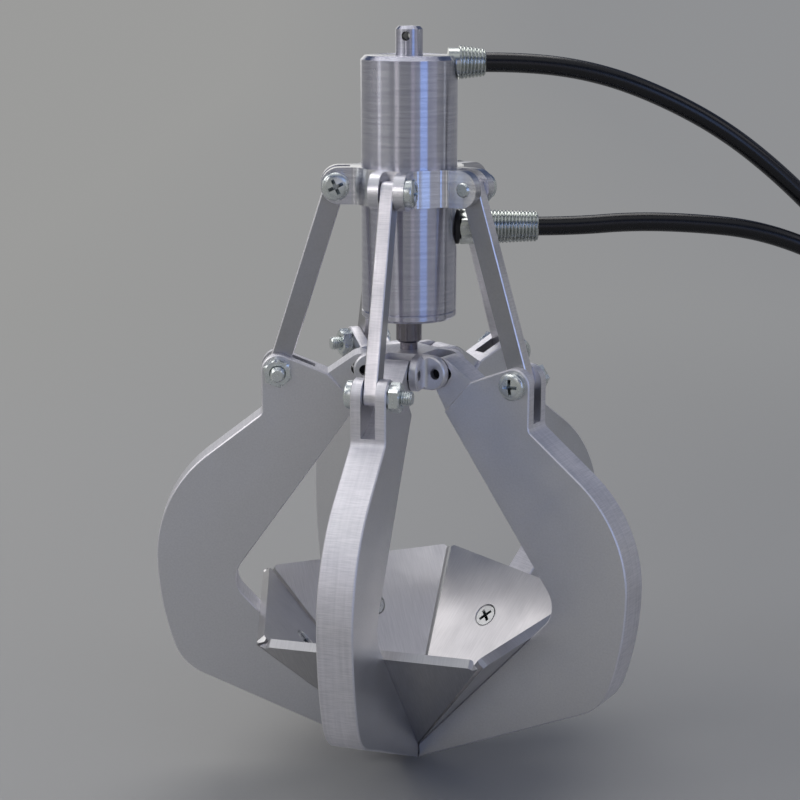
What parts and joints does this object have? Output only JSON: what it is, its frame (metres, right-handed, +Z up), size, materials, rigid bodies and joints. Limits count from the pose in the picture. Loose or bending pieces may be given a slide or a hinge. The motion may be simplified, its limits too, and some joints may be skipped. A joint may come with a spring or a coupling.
{
  "type": "five-tine grapple",
  "caption": "Closed orange-peel grapple with a central hydraulic cylinder, plate tines on flat links, and bent leaf plates that meet in a pointed bowl.",
  "frame": {"origin": "centre of the cross-hole in the hanger pin at the top", "axes": "+Z up along the cylinder; -Y towards the plane of tine 1; the cross-hole runs along Y"},
  "size_m": [0.175, 0.1531, 0.1616],
  "materials": {
    "turned_aluminium": "turned, satin",
    "milled_aluminium": "milled, fine tool lines",
    "leaf_sheet": "brushed",
    "zinc_steel": "bright zinc plated",
    "rod_chrome": "polished",
    "pin_steel": "ground",
    "fitting_steel": "dark plated thread",
    "seal_rubber": "matte",
    "hose_black": "glossy"
  },
  "bodies": {
    "body": {"hanger_pin": "turned_aluminium", "barrel": "turned_aluminium", "gland": "turned_aluminium", "gland_o_ring": "seal_rubber", "rod_seal": "seal_rubber", "collar": "milled_aluminium", "collar_screws": "zinc_steel", "upper_fitting": "fitting_steel", "lower_fitting": "fitting_steel", "lower_fitting_washer": "seal_rubber", "upper_hose": "hose_black", "lower_hose": "hose_black", "upper_hose_end": "fitting_steel", "lower_hose_end": "fitting_steel"},
    "hub": {"piston": "turned_aluminium", "piston_seal": "seal_rubber", "piston_nut": "zinc_steel", "rod": "rod_chrome", "hub": "milled_aluminium", "hub_pins": "pin_steel"},
    "link_1": {"link_1": "milled_aluminium"},
    "tine_1": {"tine_1": "milled_aluminium", "leaf_1": "leaf_sheet", "leaf_screw_1": "zinc_steel", "pivot_screw_1": "zinc_steel", "pivot_nut_1": "zinc_steel"},
    "link_2": {"link_2": "milled_aluminium"},
    "tine_2": {"tine_2": "milled_aluminium", "leaf_2": "leaf_sheet", "leaf_screw_2": "zinc_steel", "pivot_screw_2": "zinc_steel", "pivot_nut_2": "zinc_steel"},
    "link_3": {"link_3": "milled_aluminium"},
    "tine_3": {"tine_3": "milled_aluminium", "leaf_3": "leaf_sheet", "leaf_screw_3": "zinc_steel", "pivot_screw_3": "zinc_steel", "pivot_nut_3": "zinc_steel"},
    "link_4": {"link_4": "milled_aluminium"},
    "tine_4": {"tine_4": "milled_aluminium", "leaf_4": "leaf_sheet", "leaf_screw_4": "zinc_steel", "pivot_screw_4": "zinc_steel", "pivot_nut_4": "zinc_steel"},
    "link_5": {"link_5": "milled_aluminium"},
    "tine_5": {"tine_5": "milled_aluminium", "leaf_5": "leaf_sheet", "leaf_screw_5": "zinc_steel", "pivot_screw_5": "zinc_steel", "pivot_nut_5": "zinc_steel"}
  },
  "joints": [
    {"name": "hub_slide", "type": "slide", "parent": "body", "child": "hub", "axis": [0, 0, -1], "range_m": [0, 0.014]},
    {"name": "link_1_swing", "type": "hinge", "parent": "body", "child": "link_1", "pos_m": [0, -0.01536, -0.0302], "axis": [1, 0, 0], "range_deg": [0, 7.1]},
    {"name": "tine_1_swing", "type": "hinge", "parent": "link_1", "child": "tine_1", "pos_m": [0, -0.0279, -0.0692], "axis": [-1, 0, 0], "range_deg": [0, 50.9]},
    {"name": "link_2_swing", "type": "hinge", "parent": "body", "child": "link_2", "pos_m": [0.01461, -0.00475, -0.0302], "axis": [0.309, 0.9511, 0], "range_deg": [0, 7.1]},
    {"name": "tine_2_swing", "type": "hinge", "parent": "link_2", "child": "tine_2", "pos_m": [0.02653, -0.00862, -0.0692], "axis": [-0.309, -0.9511, 0], "range_deg": [0, 50.9]},
    {"name": "link_3_swing", "type": "hinge", "parent": "body", "child": "link_3", "pos_m": [0.00903, 0.01243, -0.0302], "axis": [-0.809, 0.5878, 0], "range_deg": [0, 7.1]},
    {"name": "tine_3_swing", "type": "hinge", "parent": "link_3", "child": "tine_3", "pos_m": [0.0164, 0.02257, -0.0692], "axis": [0.809, -0.5878, 0], "range_deg": [0, 50.9]},
    {"name": "link_4_swing", "type": "hinge", "parent": "body", "child": "link_4", "pos_m": [-0.00903, 0.01243, -0.0302], "axis": [-0.809, -0.5878, 0], "range_deg": [0, 7.1]},
    {"name": "tine_4_swing", "type": "hinge", "parent": "link_4", "child": "tine_4", "pos_m": [-0.0164, 0.02257, -0.0692], "axis": [0.809, 0.5878, 0], "range_deg": [0, 50.9]},
    {"name": "link_5_swing", "type": "hinge", "parent": "body", "child": "link_5", "pos_m": [-0.01461, -0.00475, -0.0302], "axis": [0.309, -0.9511, 0], "range_deg": [0, 7.1]},
    {"name": "tine_5_swing", "type": "hinge", "parent": "link_5", "child": "tine_5", "pos_m": [-0.02653, -0.00862, -0.0692], "axis": [-0.309, 0.9511, 0], "range_deg": [0, 50.9]}
  ],
  "couplings": [
    {"joint": "link_1_swing", "follows": "hub_slide", "rad_per_m": 8.8015},
    {"joint": "tine_1_swing", "follows": "hub_slide", "rad_per_m": 63.431},
    {"joint": "link_2_swing", "follows": "hub_slide", "rad_per_m": 8.8015},
    {"joint": "tine_2_swing", "follows": "hub_slide", "rad_per_m": 63.431},
    {"joint": "link_3_swing", "follows": "hub_slide", "rad_per_m": 8.8015},
    {"joint": "tine_3_swing", "follows": "hub_slide", "rad_per_m": 63.431},
    {"joint": "link_4_swing", "follows": "hub_slide", "rad_per_m": 8.8015},
    {"joint": "tine_4_swing", "follows": "hub_slide", "rad_per_m": 63.431},
    {"joint": "link_5_swing", "follows": "hub_slide", "rad_per_m": 8.8015},
    {"joint": "tine_5_swing", "follows": "hub_slide", "rad_per_m": 63.431}
  ]
}
